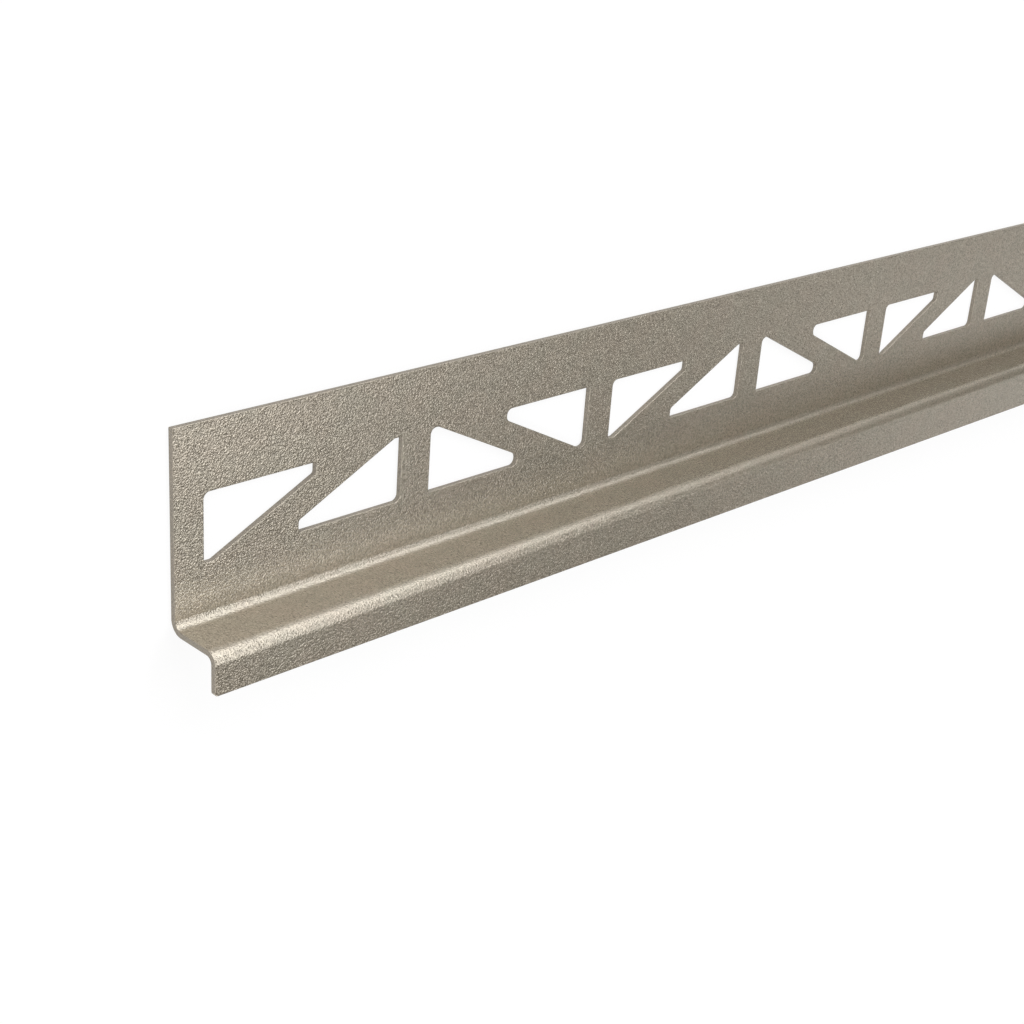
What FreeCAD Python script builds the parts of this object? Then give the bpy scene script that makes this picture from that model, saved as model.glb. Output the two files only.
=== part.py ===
import FreeCAD, Part
import math
import os
import Sketcher
from FreeCAD import Vector

# A trim profile bent from one strip of coated sheet metal, in the one-metre length it is
# sold in. A wide leg is punched with three-cornered windows, which leave upright bars and
# slanting braces between them. A narrow web stands off the foot of the leg. From the web
# hangs a lip whose free edge runs at a slope, so that the lip is a long wedge.
#
# The profile lies on the back of its leg. X runs along it, from the thin end of the wedge
# to the thick end. Y runs across the leg, up to its free edge. Z comes out of its front.
# The origin lies under the middle of the whole outline, where the back touches the floor.

SIZES = {
    # the strip, and the inside radius of its two bends
    "length": 1000.0,
    "sheet": 0.9,
    "foot_bend": 1.3,
    "lip_bend": 1.0,
    # the section: the leg from the web's underside up, the step from its back to the lip's
    # back, and the lip below the web, at the thin end and what it gains on each millimetre
    "leg_height": 29.8,
    "lip_offset": 9.1,
    "lip_start": 5.5,
    "lip_slope": 0.013,
    "lip_corner": 0.5,
    # the band of windows along the leg, and the bays that it is divided into
    "edge_strip": 10.1,
    "band_height": 10.0,
    "end_margin": 4.8,
    "bay_length": 35.1,
    "bar_width": 5.7,
    # one window: its long and its high side, and the short side at each of its far tips
    "window_length": 19.0,
    "window_height": 10.3,
    "long_tip": 1.8,
    "high_tip": 1.5,
    # corner radii, in the bays whose brace rises along X and in those whose brace falls
    "rising_corner": 1.0,
    "rising_tip": 0.55,
    "falling_corner": 0.3,
    "falling_tip": 1.0,
}

# Sizes that follow from the sheet of sizes, as expressions.
FOOT_OUTSIDE = "(Sizes.foot_bend + Sizes.sheet)"
LIP_OUTSIDE = "(Sizes.lip_bend + Sizes.sheet)"
LIP_END = "(Sizes.lip_start + Sizes.lip_slope * Sizes.length)"
LEG_TOP = f"((Sizes.leg_height + {LIP_END}) / 2)"
WEB_BACK = f"({LEG_TOP} - Sizes.leg_height)"
BAND_TOP = f"({LEG_TOP} - Sizes.edge_strip)"
BAND_FOOT = f"({BAND_TOP} - Sizes.band_height)"
THIN_END = "(-Sizes.length / 2)"
FIRST_BAY = f"({THIN_END} + Sizes.end_margin)"
BAY_PITCH = "(Sizes.bay_length + Sizes.bar_width)"
BAY_COUNT = f"floor((Sizes.length - 2 * Sizes.end_margin + Sizes.bar_width) / {BAY_PITCH})"

# The rounding at a window's tip ends before it meets the rounding of the next corner.
LONG_TIP_SHARE = 0.6
HIGH_TIP_SHARE = 0.8


def tip_radius(size_name):
    """The expression for a tip's rounding, held to what its two short sides have room for."""
    long_limit = f"{LONG_TIP_SHARE} * Sizes.long_tip"
    high_limit = f"{HIGH_TIP_SHARE} * Sizes.high_tip"
    return f"min(Sizes.{size_name}; {long_limit}; {high_limit})"


doc = FreeCAD.newDocument("WedgeProfile")

sheet = doc.addObject("Spreadsheet::Sheet", "Sizes")
for row, (size_name, size_value) in enumerate(SIZES.items(), start=1):
    sheet.set(f"A{row}", size_name)
    sheet.set(f"B{row}", str(size_value))
    sheet.setAlias(f"B{row}", size_name)
doc.recompute()


def value(expression):
    """The number that an expression over the sheet gives now, to start a sketch from."""
    return float(sheet.evalExpression(expression))


def origin_feature(body, role):
    return next(item for item in body.Origin.OriginFeatures if item.Role == role)


def new_sketch(body, label, plane):
    sketch = body.newObject("Sketcher::SketchObject", label)
    sketch.AttachmentSupport = [(origin_feature(body, plane), "")]
    sketch.MapMode = "FlatFace"
    return sketch


class Outline:
    """A closed outline of lines and tangent arcs in a sketch, which its constraints size."""

    def __init__(self, sketch, name):
        self.sketch = sketch
        self.name = name
        self.lines = []
        self.arcs = []

    def trace(self, corners):
        """Draw the sides between the corners, given as (x, y, radius). A radius of 0 stays sharp."""
        count = len(corners)
        points = [Vector(x, y, 0) for x, y, radius in corners]
        cuts = []
        for index, (x, y, radius) in enumerate(corners):
            before = (points[index - 1] - points[index]).normalize()
            after = (points[(index + 1) % count] - points[index]).normalize()
            half_angle = before.getAngle(after) / 2
            setback = radius / math.tan(half_angle)
            cuts.append((points[index] + before * setback, points[index] + after * setback))
        for index in range(count):
            side = Part.LineSegment(cuts[index][1], cuts[(index + 1) % count][0])
            self.lines.append(self.sketch.addGeometry(side, False))
        for index, (x, y, radius) in enumerate(corners):
            side_in = self.end_of(index - 1)
            side_out = self.start_of(index)
            if not radius:
                self.add("Coincident", *side_in, *side_out)
                self.arcs.append(None)
                continue
            arc, first, last = self.corner_arc(points[index], cuts[index], radius)
            self.add("Tangent", *side_in, arc, first)
            self.add("Tangent", arc, last, *side_out)
            self.arcs.append(arc)

    def corner_arc(self, corner, cut, radius):
        """The arc that rounds a corner, and which of its ends meets the side before and after."""
        chord_middle = (cut[0] + cut[1]) * 0.5
        inward = (chord_middle - corner).normalize()
        centre = corner + inward * math.hypot(radius, corner.distanceToPoint(cut[0]))
        circle = Part.Circle(centre, Vector(0, 0, 1), radius)
        first_angle, last_angle = (math.atan2(end.y - centre.y, end.x - centre.x) for end in cut)
        turns_left = (last_angle - first_angle) % (2 * math.pi) < math.pi
        if turns_left:
            curve = Part.ArcOfCircle(circle, first_angle, last_angle)
            return self.sketch.addGeometry(curve, False), 1, 2
        curve = Part.ArcOfCircle(circle, last_angle, first_angle)
        return self.sketch.addGeometry(curve, False), 2, 1

    def add(self, kind, *arguments):
        return self.sketch.addConstraint(Sketcher.Constraint(kind, *arguments))

    def level(self, *sides):
        for side in sides:
            self.add("Horizontal", self.lines[side])

    def upright(self, *sides):
        for side in sides:
            self.add("Vertical", self.lines[side])

    def bind(self, kind, what, expression, *ends):
        """Add a size named after the outline, and tie it to the sheet."""
        index = self.add(kind, *ends, value(expression))
        constraint_name = f"{self.name}_{what}"
        self.sketch.renameConstraint(index, constraint_name)
        self.sketch.setExpression(f"Constraints.{constraint_name}", expression)

    def radius(self, corner, what, expression):
        self.bind("Radius", what, expression, self.arcs[corner])

    def start_of(self, side):
        """A side and its first point, as a constraint takes them. The second point is 2."""
        return self.lines[side], 1

    def end_of(self, side):
        return self.lines[side], 2

    def origin(self):
        return -1, 1

    def meeting_point(self, first_side, second_side, place):
        """A point where two sides would meet if the corner between them were sharp."""
        point = self.sketch.addGeometry(Part.Point(Vector(*place, 0)), True)
        self.add("PointOnObject", point, 1, self.lines[first_side])
        self.add("PointOnObject", point, 1, self.lines[second_side])
        return point, 1


def draw_section(sketch):
    """The bent strip seen along X, drawn as deep as the lip is at its thick end."""
    leg_top = value(LEG_TOP)
    web_back = value(WEB_BACK)
    web_front = value(f"{WEB_BACK} + Sizes.sheet")
    lip_edge = value(f"{WEB_BACK} - {LIP_END}")
    leg_front = value("Sizes.sheet")
    lip_back = value("Sizes.lip_offset")
    lip_front = value("Sizes.lip_offset + Sizes.sheet")
    foot_outside = value(FOOT_OUTSIDE)
    foot_inside = value("Sizes.foot_bend")
    lip_outside = value(LIP_OUTSIDE)
    lip_inside = value("Sizes.lip_bend")
    strip = Outline(sketch, "strip")
    strip.trace([
        (leg_top, 0.0, 0),
        (web_back, 0.0, foot_outside),
        (web_back, lip_back, lip_inside),
        (lip_edge, lip_back, 0),
        (lip_edge, lip_front, 0),
        (web_front, lip_front, lip_outside),
        (web_front, leg_front, foot_inside),
        (leg_top, leg_front, 0),
    ])
    leg_back, web_under, lip_rear, lip_foot, lip_face, web_face, leg_face, leg_edge = range(8)
    strip.level(leg_back, lip_rear, lip_face, leg_face)
    strip.upright(web_under, lip_foot, web_face, leg_edge)
    strip.add("PointOnObject", *strip.start_of(leg_back), -1)
    strip.bind("DistanceX", "leg_top", LEG_TOP, *strip.origin(), *strip.start_of(leg_back))
    strip.bind("DistanceX", "leg_height", "Sizes.leg_height",
               *strip.start_of(web_under), *strip.start_of(leg_back))
    strip.bind("DistanceY", "leg_sheet", "Sizes.sheet",
               *strip.start_of(leg_back), *strip.start_of(leg_edge))
    strip.bind("DistanceX", "web_sheet", "Sizes.sheet",
               *strip.start_of(web_under), *strip.start_of(web_face))
    strip.bind("DistanceY", "lip_offset", "Sizes.lip_offset",
               *strip.start_of(leg_back), *strip.start_of(lip_foot))
    strip.bind("DistanceY", "lip_sheet", "Sizes.sheet",
               *strip.start_of(lip_foot), *strip.start_of(lip_face))
    strip.bind("DistanceX", "lip_height", LIP_END,
               *strip.start_of(lip_foot), *strip.start_of(web_under))
    strip.radius(1, "foot_outside", FOOT_OUTSIDE)
    strip.radius(2, "lip_inside", "Sizes.lip_bend")
    strip.radius(5, "lip_outside", LIP_OUTSIDE)
    strip.radius(6, "foot_inside", "Sizes.foot_bend")


def draw_taper(sketch):
    """What is trimmed off below the lip's sloping edge, one sheet deeper than the lip."""
    thin_end = value(THIN_END)
    thick_end = value("Sizes.length / 2")
    thin_edge = value(f"{WEB_BACK} - Sizes.lip_start")
    thick_edge = value(f"{WEB_BACK} - {LIP_END}")
    below = value(f"{WEB_BACK} - {LIP_END} - Sizes.sheet")
    taper = Outline(sketch, "taper")
    taper.trace([
        (thin_end, thin_edge, 0),
        (thick_end, thick_edge, 0),
        (thick_end, below, 0),
        (thin_end, below, 0),
    ])
    slope, thick_side, foot, thin_side = range(4)
    taper.upright(thick_side, thin_side)
    taper.level(foot)
    taper.bind("DistanceX", "thin_end", THIN_END, *taper.origin(), *taper.start_of(slope))
    taper.bind("DistanceX", "length", "Sizes.length",
               *taper.start_of(slope), *taper.start_of(thick_side))
    taper.bind("DistanceY", "thin_edge", f"{WEB_BACK} - Sizes.lip_start",
               *taper.origin(), *taper.start_of(slope))
    taper.bind("DistanceY", "thick_edge", f"{WEB_BACK} - {LIP_END}",
               *taper.origin(), *taper.start_of(thick_side))
    taper.bind("DistanceY", "depth", "Sizes.sheet",
               *taper.start_of(foot), *taper.start_of(thick_side))


def draw_window(sketch, name, corner_x, corner_y, along, up, corner_size, tip_size):
    """One window, from its square corner. along and up say which way its two sides run."""
    x = value(corner_x)
    y = value(corner_y)
    far_x = x + along * value("Sizes.window_length")
    tip_x = x + along * value("Sizes.high_tip")
    tip_y = y + up * value("Sizes.long_tip")
    far_y = y + up * value("Sizes.window_height")
    tip_rounding = tip_radius(tip_size)
    tip_start = value(tip_rounding)
    window = Outline(sketch, name)
    window.trace([
        (x, y, value(f"Sizes.{corner_size}")),
        (far_x, y, tip_start),
        (far_x, tip_y, tip_start),
        (tip_x, far_y, tip_start),
        (x, far_y, tip_start),
    ])
    long_side, short_end, brace_side, short_top, high_side = range(5)
    window.level(long_side, short_top)
    window.upright(short_end, high_side)
    window.bind("DistanceX", "x", corner_x, *window.origin(), *window.start_of(high_side))
    window.bind("DistanceY", "y", corner_y, *window.origin(), *window.start_of(long_side))
    window.bind("DistanceX", "length", f"{along} * Sizes.window_length",
                *window.start_of(high_side), *window.start_of(short_end))
    window.bind("DistanceY", "height", f"{up} * Sizes.window_height",
                *window.start_of(long_side), *window.start_of(short_top))
    end_point = window.meeting_point(short_end, brace_side, (far_x, tip_y))
    window.bind("DistanceY", "long_tip", f"{up} * Sizes.long_tip",
                *window.start_of(long_side), *end_point)
    top_point = window.meeting_point(brace_side, short_top, (tip_x, far_y))
    window.bind("DistanceX", "high_tip", f"{along} * Sizes.high_tip",
                *window.start_of(high_side), *top_point)
    window.radius(0, "corner", f"Sizes.{corner_size}")
    for tip_number in range(1, 5):
        window.radius(tip_number, f"tip{tip_number}", tip_rounding)


def cut(body, label, sketch, size_name):
    """Cut a sketch on the floor plane upwards, by a height that goes right through."""
    before = body.Tip.Shape.Volume
    pocket = body.newObject("PartDesign::Pocket", label)
    pocket.Profile = sketch
    pocket.Reversed = True
    pocket.setExpression("Length", size_name)
    body.Tip = pocket
    doc.recompute()
    if pocket.Shape.Volume >= before:
        raise RuntimeError(f"{label} cut nothing")
    return pocket


def repeat(body, label, pocket, count):
    """Repeat a bay along X, two bays apart, because rising and falling ones alternate."""
    before = body.Tip.Shape.Volume
    pattern = body.newObject("PartDesign::LinearPattern", label)
    pattern.Originals = [pocket]
    pattern.Direction = (origin_feature(body, "X_Axis"), [""])
    pattern.Mode = "Spacing"
    pattern.setExpression("Offset", f"2 * {BAY_PITCH}")
    pattern.setExpression("Occurrences", count)
    body.Tip = pattern
    doc.recompute()
    if pattern.Shape.Volume >= before:
        raise RuntimeError(f"{label} repeated nothing")
    return pattern


def lip_corner_edges(shape):
    """The two edges through the sheet at the free corners of the lip, one at each end."""
    half_length = value("Sizes.length / 2")
    thin_edge = value(f"{WEB_BACK} - Sizes.lip_start")
    thick_edge = value(f"{WEB_BACK} - {LIP_END}")
    lip_middle = value("Sizes.lip_offset + Sizes.sheet / 2")
    wanted = [Vector(-half_length, thin_edge, lip_middle), Vector(half_length, thick_edge, lip_middle)]
    numbered = list(enumerate(shape.Edges, start=1))
    names = []
    for place in wanted:
        number, edge = min(numbered, key=lambda item: item[1].CenterOfMass.distanceToPoint(place))
        names.append(f"Edge{number}")
    return names


def build_wedge_profile():
    body = doc.addObject("PartDesign::Body", "WedgeProfile")
    body.Label = "wedge_profile"

    section = new_sketch(body, "Section", "YZ_Plane")
    draw_section(section)
    strip = body.newObject("PartDesign::Pad", "BentStrip")
    strip.Profile = section
    strip.SideType = "Symmetric"
    strip.setExpression("Length", "Sizes.length")
    body.Tip = strip
    doc.recompute()

    taper = new_sketch(body, "Taper", "XY_Plane")
    draw_taper(taper)
    wedge = cut(body, "WedgeCut", taper, "Sizes.lip_offset + 2 * Sizes.sheet")

    corners = body.newObject("PartDesign::Fillet", "LipCorners")
    corners.Base = (wedge, lip_corner_edges(wedge.Shape))
    corners.setExpression("Radius", "Sizes.lip_corner")
    body.Tip = corners
    doc.recompute()

    bay_end = f"({FIRST_BAY} + Sizes.bay_length)"
    rising = new_sketch(body, "RisingBay", "XY_Plane")
    draw_window(rising, "upper", FIRST_BAY, BAND_TOP, 1, -1, "rising_corner", "rising_tip")
    draw_window(rising, "lower", bay_end, BAND_FOOT, -1, 1, "rising_corner", "rising_tip")
    rising_cut = cut(body, "RisingWindows", rising, "2 * Sizes.sheet")
    repeat(body, "RisingBays", rising_cut, f"ceil({BAY_COUNT} / 2)")

    next_bay = f"({FIRST_BAY} + {BAY_PITCH})"
    next_end = f"({next_bay} + Sizes.bay_length)"
    falling = new_sketch(body, "FallingBay", "XY_Plane")
    draw_window(falling, "lower", next_bay, BAND_FOOT, 1, 1, "falling_corner", "falling_tip")
    draw_window(falling, "upper", next_end, BAND_TOP, -1, -1, "falling_corner", "falling_tip")
    falling_cut = cut(body, "FallingWindows", falling, "2 * Sizes.sheet")
    repeat(body, "FallingBays", falling_cut, f"floor({BAY_COUNT} / 2)")
    return body


PARTS = [build_wedge_profile()]
doc.recompute()

for item in doc.Objects:
    if "Invalid" in item.State or "Error" in item.State:
        raise RuntimeError(f"{item.Label} did not compute")
for part in PARTS:
    if part.Shape.isNull() or not part.Shape.isValid():
        raise RuntimeError(f"{part.Label} has no valid shape")

os.makedirs("parts", exist_ok=True)
for part in PARTS:
    part.Shape.exportStep(f"parts/{part.Label}.step")
    box = part.Shape.BoundBox
    print(part.Label, "volume", round(part.Shape.Volume, 2), "solids", len(part.Shape.Solids),
          "faces", len(part.Shape.Faces), "size", round(box.XLength, 2), round(box.YLength, 2),
          round(box.ZLength, 2))
    print("centre of mass", part.Shape.CenterOfGravity)
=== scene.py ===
import math

import bmesh
import bpy
from mathutils import Matrix, Vector


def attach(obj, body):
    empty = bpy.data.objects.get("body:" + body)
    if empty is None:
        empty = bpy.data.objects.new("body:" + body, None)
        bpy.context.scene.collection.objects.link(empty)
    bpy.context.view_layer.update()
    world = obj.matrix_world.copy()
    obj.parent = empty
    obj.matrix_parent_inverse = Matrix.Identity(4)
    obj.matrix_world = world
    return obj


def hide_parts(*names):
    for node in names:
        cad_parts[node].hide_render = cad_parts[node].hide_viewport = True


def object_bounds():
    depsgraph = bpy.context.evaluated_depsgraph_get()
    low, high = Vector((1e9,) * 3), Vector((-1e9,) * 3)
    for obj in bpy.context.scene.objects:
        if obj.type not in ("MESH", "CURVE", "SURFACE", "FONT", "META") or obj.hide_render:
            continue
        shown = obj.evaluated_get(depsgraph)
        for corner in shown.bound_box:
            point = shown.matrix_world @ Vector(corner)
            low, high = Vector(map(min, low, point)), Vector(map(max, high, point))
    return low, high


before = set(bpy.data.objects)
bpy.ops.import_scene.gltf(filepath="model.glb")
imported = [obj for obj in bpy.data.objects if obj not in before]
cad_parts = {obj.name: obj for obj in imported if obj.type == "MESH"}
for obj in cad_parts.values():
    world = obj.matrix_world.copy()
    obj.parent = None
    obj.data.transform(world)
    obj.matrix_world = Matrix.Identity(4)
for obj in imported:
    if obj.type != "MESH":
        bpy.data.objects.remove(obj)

cad_low, cad_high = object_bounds()

# A wedge-lipped trim profile, bent from one punched strip of sheet and coated with a fine
# textured coat. It lies on the back of its leg: X along it, Y up the leg, Z out of its front.
# Lengths are in metres, and MM turns a size in millimetres into them.

MM = 0.001

# The strip and its section, as in the part.
SHEET = 0.9 * MM
FOOT_BEND = 1.3 * MM
LIP_BEND = 1.0 * MM
LEG_HEIGHT = 29.8 * MM
LIP_OFFSET = 9.1 * MM
LIP_START = 5.5 * MM
LIP_SLOPE = 0.013
LIP_CORNER = 0.5 * MM

# The window band, in bays with one slanting brace between two windows each. A window is a
# right triangle, and the cuts across its long tip and its high tip have the widths given.
# The corner radii are those of its square corner and of its tips, in each kind of bay.
EDGE_STRIP = 10.1 * MM
BAND_HEIGHT = 10.0 * MM
END_MARGIN = 4.8 * MM
BAY_LENGTH = 35.1 * MM
BAR_WIDTH = 5.7 * MM
WINDOW_LENGTH = 19.0 * MM
WINDOW_HEIGHT = 10.3 * MM
LONG_TIP = 1.8 * MM
HIGH_TIP = 1.5 * MM
RISING_CORNERS = (1.0 * MM, 0.55 * MM)
FALLING_CORNERS = (0.3 * MM, 1.0 * MM)

# How finely the bends and corners are cut, how wide a rim of faces goes round each window,
# and how near two points are taken as one.
BEND_STEPS = 12
CORNER_STEPS = 6
RIM = 0.35 * MM
MERGE = 0.01 * MM

# How the coat rounds the arrises of the sheared edges, which edges are sharp enough for it,
# and how strongly the flats set the shading of the arrises beside them.
ARRIS = 0.08 * MM
ARRIS_STEPS = 3
ARRIS_ANGLE = math.radians(50)
FLATS_WEIGHT = 100

# Places that follow from the sizes and the frame.
THIN_END = cad_low.x
THICK_END = cad_high.x
LEG_TOP = cad_high.y
WEB_BACK = LEG_TOP - LEG_HEIGHT
WEB_FRONT = WEB_BACK + SHEET
LEG_FOOT = WEB_FRONT + FOOT_BEND
LIP_TOP = WEB_BACK - LIP_BEND
BAND_TOP = LEG_TOP - EDGE_STRIP
BAND_FOOT = BAND_TOP - BAND_HEIGHT
BAY_PITCH = BAY_LENGTH + BAR_WIDTH
FIRST_BAY = THIN_END + END_MARGIN
BAY_PAIRS = int((THICK_END - FIRST_BAY - END_MARGIN + BAR_WIDTH) / BAY_PITCH) // 2

# The panel of a rising and a falling bay, which is repeated along the leg.
PANEL_START = FIRST_BAY - BAR_WIDTH / 2
PANEL_LENGTH = 2 * BAY_PITCH
PANEL_TOP = BAND_TOP + BAR_WIDTH / 2
PANEL_FOOT = BAND_FOOT - BAR_WIDTH / 2


def linear(red, green, blue):
    """A colour given as a screen shows it, 0 to 255, in the shader's linear levels."""
    def channel(level):
        share = level / 255
        return share / 12.92 if share <= 0.04045 else ((share + 0.055) / 1.055) ** 2.4
    return (channel(red), channel(green), channel(blue), 1.0)


# The coat's colours: its own colour, with painted shade in the hollows and painted light on the
# crests of its grain, two faint tints that it drifts between, and the painted shade of the
# sheared edges.
SHADED_HOLLOW = linear(106, 98, 86)
LIT_CREST = linear(182, 172, 154)
GREENER = (0.985, 1.0, 0.99, 1.0)
PINKER = (1.015, 1.0, 0.99, 1.0)
# Painted shade: how much the sheared edges are darkened.
EDGE_SHADE = (0.68, 0.66, 0.64, 1.0)

# The coat's grain: its size across, how deep it is, how strongly its painted shade and light show
# in the colour, and the character of its noise. Then the size, strength and noise of the drift
# between the tints.
GRAIN = 0.26 * MM
GRAIN_DEPTH = 0.07 * MM
GRAIN_SHADING = 1.4
GRAIN_NOISE = {"Detail": 1.0, "Roughness": 0.5, "Distortion": 0.3}
DRIFT = 6 * MM
DRIFT_TONE = 4.0
DRIFT_NOISE = {"Detail": 2.0, "Roughness": 0.6, "Distortion": 0.0}

# The coat's gloss, with the duller gloss of the sheared edges.
METALLIC = 0.5
IOR = 1.8
SPECULAR = 1.0
ROUGHNESS = 0.2
EDGE_ROUGHNESS = 0.5


class Wire:
    """A shader socket that adds Math nodes when it is calculated with."""

    def __init__(self, tree, socket):
        self.tree = tree
        self.socket = socket

    def maths(self, operation, *operands):
        """Add a Math node."""
        node = self.tree.nodes.new("ShaderNodeMath")
        node.operation = operation
        for slot, operand in zip(node.inputs, operands):
            connect(slot, operand)
        return Wire(self.tree, node.outputs[0])

    def __add__(self, other):
        return self.maths("ADD", self, other)

    __radd__ = __add__

    def __sub__(self, other):
        return self.maths("SUBTRACT", self, other)

    def __rsub__(self, other):
        return self.maths("SUBTRACT", other, self)

    def __mul__(self, other):
        return self.maths("MULTIPLY", self, other)

    __rmul__ = __mul__

    def share(self):
        """Held between nothing and the whole."""
        return self.maths("MINIMUM", self.maths("MAXIMUM", self, 0.0), 1.0)

    def stretched(self, contrast):
        """Its distance from the middle level made larger, and held as a share."""
        return (0.5 + contrast * (self - 0.5)).share()


def connect(slot, given):
    """Link a wire to a socket, or set the socket's own value."""
    if isinstance(given, Wire):
        given.tree.links.new(given.socket, slot)
    else:
        slot.default_value = given


class Finish:
    """The shader of a material or of the surround, in the making."""

    def __init__(self, owner):
        owner.use_nodes = True
        self.tree = owner.node_tree
        self.tree.nodes.clear()

    def node(self, kind, result, settings=None, sockets=None):
        """Add a node: its settings first, then its sockets, and give the result by name."""
        made = self.tree.nodes.new("ShaderNode" + kind)
        for name, setting in (settings or {}).items():
            setattr(made, name, setting)
        slots = {slot.identifier: slot for slot in made.inputs}
        for name, given in (sockets or {}).items():
            connect(slots[name], given)
        results = {slot.identifier: slot for slot in made.outputs}
        return Wire(self.tree, results[result]) if result else None

    def blend(self, factor, first, second, way="MIX"):
        """Mix two colours."""
        return self.node("Mix", "Result_Color", {"data_type": "RGBA", "blend_type": way},
                         {"Factor_Float": factor, "A_Color": first, "B_Color": second})

    def noise(self, size, character):
        """A cloudy pattern of the given size, fixed to the piece."""
        place = self.node("TexCoord", "Object")
        counted = self.node("VectorMath", "Vector", {"operation": "SCALE"},
                            {"Vector": place, "Scale": 1 / size})
        return self.node("TexNoise", "Fac", {}, {"Vector": counted, "Scale": 1.0, **character})


def sheared(coat):
    """Where the sheared edges are: both ends, the lip's and the leg's free edges, the windows."""
    place = coat.node("TexCoord", "Object")
    x, y, z = [coat.node("SeparateXYZ", axis, {}, {"Vector": place}) for axis in "XYZ"]

    def past(depth):
        return (depth * (1 / ARRIS)).share()

    ends = past(THIN_END + ARRIS - x) + past(x - (THICK_END - ARRIS))
    lip = past(WEB_BACK - LIP_START + ARRIS - LIP_SLOPE * (x - THIN_END) - y)
    walls = past(z) * past(SHEET - z) * past(y - LEG_FOOT)
    return (ends + lip + walls).share()


def textured_coat():
    """Warm grey-beige metallic coat with a leather-like grain of about half a millimetre."""
    material = bpy.data.materials.new("textured_coat")
    coat = Finish(material)
    grain = coat.noise(GRAIN, GRAIN_NOISE)
    # Painted shade and light of the grain's relief: its hollows are coloured darker and its
    # crests lighter.
    relief_shaded = coat.blend(grain.stretched(GRAIN_SHADING), SHADED_HOLLOW, LIT_CREST)
    drift = coat.noise(DRIFT, DRIFT_NOISE)
    tint = coat.blend(drift.stretched(DRIFT_TONE), GREENER, PINKER)
    face_colour = coat.blend(1.0, relief_shaded, tint, "MULTIPLY")
    # Painted shade on the sheared edges: the coat's colour darkened where the edge mask holds.
    edge_shaded = coat.blend(1.0, face_colour, EDGE_SHADE, "MULTIPLY")
    edge = sheared(coat)
    normal = coat.node("Bump", "Normal", {},
                       {"Strength": 1.0, "Distance": GRAIN_DEPTH, "Height": grain})
    shader = coat.node("BsdfPrincipled", "BSDF", {},
                       {"Base Color": coat.blend(edge, face_colour, edge_shaded),
                        "Roughness": ROUGHNESS + (EDGE_ROUGHNESS - ROUGHNESS) * edge,
                        "Metallic": METALLIC,
                        "IOR": IOR,
                        "Specular IOR Level": SPECULAR,
                        "Normal": normal})
    coat.node("OutputMaterial", None, {}, {"Surface": shader})
    return material


def only(kind, items):
    """The vertices or the edges among the items that an operator gives."""
    return [item for item in items if isinstance(item, kind)]


def trace_window(panel, corner, along, up, radii):
    """Draw the rim of a window, a right triangle with two cut tips, and give its outer edges."""
    x, y = corner
    places = [Vector((x, y, SHEET)),
              Vector((x + along * WINDOW_LENGTH, y, SHEET)),
              Vector((x + along * WINDOW_LENGTH, y + up * LONG_TIP, SHEET)),
              Vector((x + along * HIGH_TIP, y + up * WINDOW_HEIGHT, SHEET)),
              Vector((x, y + up * WINDOW_HEIGHT, SHEET))]
    corners = [panel.verts.new(place) for place in places]
    panel.faces.new(corners)
    square, tip = radii
    for number, radius in enumerate((square, tip, tip, tip, tip)):
        here = places[number]
        back = places[number - 1] - here
        ahead = places[(number + 1) % len(places)] - here
        setback = radius / math.tan(back.angle(ahead) / 2)
        bmesh.ops.bevel(panel, geom=[corners[number]], affect="VERTICES", offset=setback,
                        segments=CORNER_STEPS, profile=0.5, material=-1)
    # The rims are made of four-sided faces, so the face with more sides is the opening.
    opening = [face for face in panel.faces if len(face.verts) > 4]
    bmesh.ops.inset_individual(panel, faces=opening, thickness=-RIM, use_even_offset=True)
    outer = opening[0].edges[:]
    bmesh.ops.delete(panel, geom=opening, context="FACES_ONLY")
    return outer


def punched_panel():
    """The front of the leg beside its windows, for a rising and a falling bay."""
    panel = bmesh.new()
    rise = FIRST_BAY
    fall = FIRST_BAY + BAY_PITCH
    edges = []
    for corner, along, up, radii in (
            ((rise, BAND_TOP), 1, -1, RISING_CORNERS),
            ((rise + BAY_LENGTH, BAND_FOOT), -1, 1, RISING_CORNERS),
            ((fall, BAND_FOOT), 1, 1, FALLING_CORNERS),
            ((fall + BAY_LENGTH, BAND_TOP), -1, -1, FALLING_CORNERS)):
        edges += trace_window(panel, corner, along, up, radii)
    left = PANEL_START
    right = PANEL_START + PANEL_LENGTH
    border = [panel.verts.new((x, y, SHEET)) for x, y in
              ((left, PANEL_FOOT), (right, PANEL_FOOT), (right, PANEL_TOP), (left, PANEL_TOP))]
    edges += [panel.edges.new((vertex, border[number - 1]))
              for number, vertex in enumerate(border)]
    bmesh.ops.triangle_fill(panel, use_beauty=True, use_dissolve=False, edges=edges,
                            normal=(0, 0, 1))
    return panel


def edges_at(sheet, axis, level):
    """The border edges that lie at one level along X or Y, which are axes 0 and 1."""
    return [edge for edge in sheet.edges if edge.is_boundary
            and all(abs(vertex.co[axis] - level) < MERGE for vertex in edge.verts)]


def draw_out(sheet, edges, reach):
    """Extend a border straight on, and give the new border."""
    grown = bmesh.ops.extrude_edge_only(sheet, edges=edges)["geom"]
    vertices = only(bmesh.types.BMVert, grown)
    bmesh.ops.translate(sheet, verts=vertices, vec=reach)
    return [edge for edge in only(bmesh.types.BMEdge, grown)
            if all(vertex in vertices for vertex in edge.verts)]


def bend(sheet, edges, centre, angle):
    """Roll a border round a line along X, and give the new border."""
    turned = bmesh.ops.spin(sheet, geom=edges, cent=centre, axis=(1, 0, 0), angle=angle,
                            steps=BEND_STEPS, use_merge=False)["geom_last"]
    return only(bmesh.types.BMEdge, turned)


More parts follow.
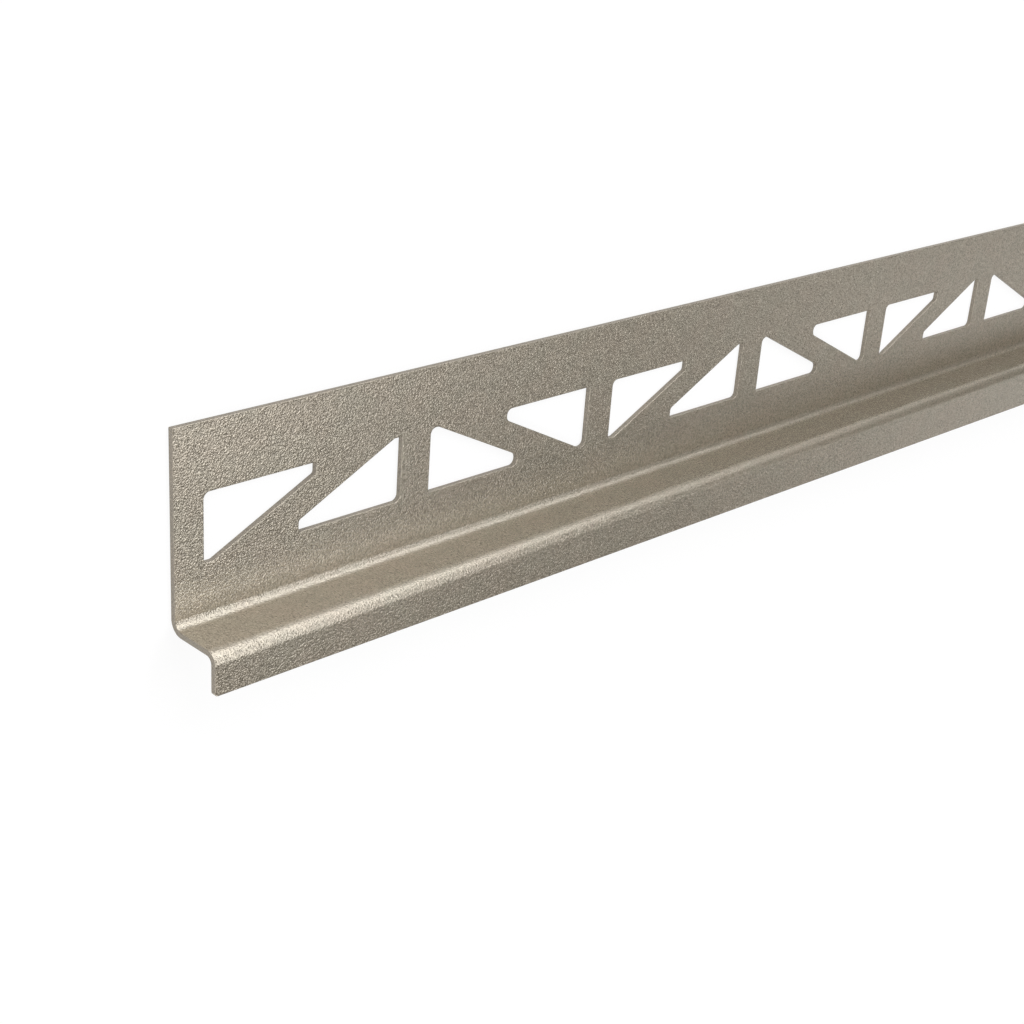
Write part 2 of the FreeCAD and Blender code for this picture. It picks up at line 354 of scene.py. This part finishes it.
def punched_leg():
    """The front of the whole leg: the panels in a row, drawn out to its edges and ends."""
    sheet = punched_panel()
    module = sheet.verts[:] + sheet.edges[:] + sheet.faces[:]
    for number in range(1, BAY_PAIRS):
        copy = bmesh.ops.duplicate(sheet, geom=module)["geom"]
        bmesh.ops.translate(sheet, verts=only(bmesh.types.BMVert, copy),
                            vec=(PANEL_LENGTH * number, 0, 0))
    bmesh.ops.remove_doubles(sheet, verts=sheet.verts[:], dist=MERGE)
    draw_out(sheet, edges_at(sheet, 1, PANEL_TOP), (0, LEG_TOP - PANEL_TOP, 0))
    draw_out(sheet, edges_at(sheet, 1, PANEL_FOOT), (0, LEG_FOOT - PANEL_FOOT, 0))
    row_end = PANEL_START + PANEL_LENGTH * BAY_PAIRS
    draw_out(sheet, edges_at(sheet, 0, PANEL_START), (THIN_END - PANEL_START, 0, 0))
    draw_out(sheet, edges_at(sheet, 0, row_end), (THICK_END - row_end, 0, 0))
    return sheet


def front_skin():
    """The front of the profile: the punched leg, the web and the sloping lip."""
    sheet = punched_leg()
    foot_centre = Vector((0, LEG_FOOT, SHEET + FOOT_BEND))
    lip_centre = Vector((0, LIP_TOP, LIP_OFFSET - LIP_BEND))
    foot = bend(sheet, edges_at(sheet, 1, LEG_FOOT), foot_centre, -math.pi / 2)
    web = draw_out(sheet, foot, (0, 0, lip_centre.z - foot_centre.z))
    brow = bend(sheet, web, lip_centre, math.pi / 2)
    lip = draw_out(sheet, brow, (0, WEB_BACK - LIP_START - LIP_TOP, 0))
    lip_edge = list({vertex for edge in lip for vertex in edge.verts})
    slope = Matrix.Identity(4)
    slope[1][0] = -LIP_SLOPE
    bmesh.ops.transform(sheet, matrix=slope, space=Matrix.Translation((-THIN_END, 0, 0)),
                        verts=lip_edge)
    # Along the lip's edge two faces meet at each point, and only its two corners have one.
    corners = [vertex for vertex in lip_edge if len(vertex.link_faces) == 1]
    bmesh.ops.bevel(sheet, geom=corners, affect="VERTICES", offset=LIP_CORNER,
                    segments=CORNER_STEPS, profile=0.5, material=-1)
    bmesh.ops.recalc_face_normals(sheet, faces=sheet.faces[:])
    return sheet


def coated_profile():
    """The whole profile: its front given the sheet's thickness towards the back, and a coat."""
    sheet = front_skin()
    mesh = bpy.data.meshes.new("coated_profile")
    sheet.to_mesh(mesh)
    sheet.free()
    mesh.shade_smooth()
    mesh.materials.append(textured_coat())
    piece = bpy.data.objects.new("coated_profile", mesh)
    bpy.context.scene.collection.objects.link(piece)
    wall = piece.modifiers.new("wall", "SOLIDIFY")
    wall.thickness = SHEET
    wall.offset = -1.0
    wall.use_even_offset = True
    arris = piece.modifiers.new("arris", "BEVEL")
    arris.width = ARRIS
    arris.segments = ARRIS_STEPS
    arris.limit_method = "ANGLE"
    arris.angle_limit = ARRIS_ANGLE
    arris.use_clamp_overlap = False
    flats = piece.modifiers.new("flats", "WEIGHTED_NORMAL")
    flats.weight = FLATS_WEIGHT
    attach(piece, "root")
    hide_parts("wedge_profile")


# The floor: how far it reaches, its gap below the profile, its own colour, and how white it
# looks by itself.
FLOOR_REACH = 6.0
FLOOR_GAP = 0.1 * MM
FLOOR_COLOUR = (0.9, 0.9, 0.9, 1.0)
FLOOR_GLOW = 0.88
WHITE = (1.0, 1.0, 1.0, 1.0)

# How bright the surround is, as a light and as the backdrop that the camera sees.
SURROUND = 0.05
BACKDROP = 0.9

# The softboxes, each by its place, the width and height of its face, and its power.
SOFTBOXES = {
    "ceiling": ((0.45, 0.30, 1.85), (0.8, 2.5), 22.0),
    "window": ((0.10, 1.75, 0.85), (2.6, 1.7), 43.0),
    "lip_side": ((-1.00, -1.50, 1.00), (2.0, 1.3), 22.5),
    "near_end": ((-1.75, 0.05, 0.80), (1.2, 2.2), 18.5),
    "far_end": ((1.70, -0.70, 0.80), (0.8, 1.2), 2.3),
}

# The camera looks down on the thin end from close by, tilted so that the leg stands upright.
# Its lens and its sensor are in millimetres.
CAMERA_PLACE = Vector((-0.61324, 0.10072, 0.168385))
CAMERA_AIM = Vector((-0.43470, -0.00455, 0.0))
CAMERA_UP = Vector((0.23551, 0.91653, -0.32328))
CAMERA_LENS = 58.12
CAMERA_SENSOR = 36.0
CAMERA_NEAR = 0.01


def facing(place, aim, up):
    """The turn and place of a lamp or camera that looks from one place to another."""
    ahead = (aim - place).normalized()
    right = ahead.cross(up).normalized()
    turn = Matrix((right, right.cross(ahead), -ahead)).transposed().to_4x4()
    return Matrix.Translation(place) @ turn


def floor():
    """A plain pale floor that keeps the profile's shadow and looks nearly white by itself."""
    material = bpy.data.materials.new("studio_floor")
    pale = Finish(material)
    rays = [pale.node("LightPath", ray) for ray in
            ("Is Camera Ray", "Is Glossy Ray", "Is Transmission Ray")]
    seen = (rays[0] + rays[1] + rays[2]).share()
    lit = pale.node("BsdfDiffuse", "BSDF", {}, {"Color": FLOOR_COLOUR})
    white = pale.node("Emission", "Emission", {}, {"Color": WHITE, "Strength": 1.0})
    paper = pale.node("MixShader", "Shader", {},
                      {"Fac": FLOOR_GLOW * seen, "Shader": lit, "Shader_001": white})
    pale.node("OutputMaterial", None, {}, {"Surface": paper})
    sheet = bmesh.new()
    bmesh.ops.create_grid(sheet, x_segments=1, y_segments=1, size=FLOOR_REACH,
                          matrix=Matrix.Translation((0, 0, cad_low.z - FLOOR_GAP)))
    mesh = bpy.data.meshes.new("studio_floor")
    sheet.to_mesh(mesh)
    sheet.free()
    mesh.materials.append(material)
    piece = bpy.data.objects.new("studio_floor", mesh)
    bpy.context.scene.collection.objects.link(piece)


def softbox(name, place, face, power):
    """A lamp with a flat bright face, its width along the profile, turned to the middle of it."""
    lamp = bpy.data.lights.new(name, "AREA")
    lamp.shape = "RECTANGLE"
    lamp.size, lamp.size_y = face
    lamp.energy = power
    lit = bpy.data.objects.new(name, lamp)
    place = Vector(place)
    lit.matrix_world = facing(place, Vector(), place.cross((1, 0, 0)))
    lit.visible_camera = False
    bpy.context.scene.collection.objects.link(lit)


def surround():
    """An even surround, faint as a light and pale where the camera sees it."""
    world = bpy.data.worlds.new("surround")
    around = Finish(world)
    seen = around.node("LightPath", "Is Camera Ray")
    even = around.node("Background", "Background", {},
                       {"Color": WHITE, "Strength": SURROUND + (BACKDROP - SURROUND) * seen})
    around.node("OutputWorld", None, {}, {"Surface": even})
    bpy.context.scene.world = world


def camera():
    """The camera, at the photograph's viewing angle."""
    lens = bpy.data.cameras.new("camera")
    lens.lens = CAMERA_LENS
    lens.sensor_width = CAMERA_SENSOR
    lens.clip_start = CAMERA_NEAR
    view = bpy.data.objects.new("camera", lens)
    view.matrix_world = facing(CAMERA_PLACE, CAMERA_AIM, CAMERA_UP)
    bpy.context.scene.collection.objects.link(view)
    bpy.context.scene.camera = view


coated_profile()
floor()
for name, (place, face, power) in SOFTBOXES.items():
    softbox(name, place, face, power)
surround()
camera()
bpy.context.scene.view_settings.view_transform = "Standard"
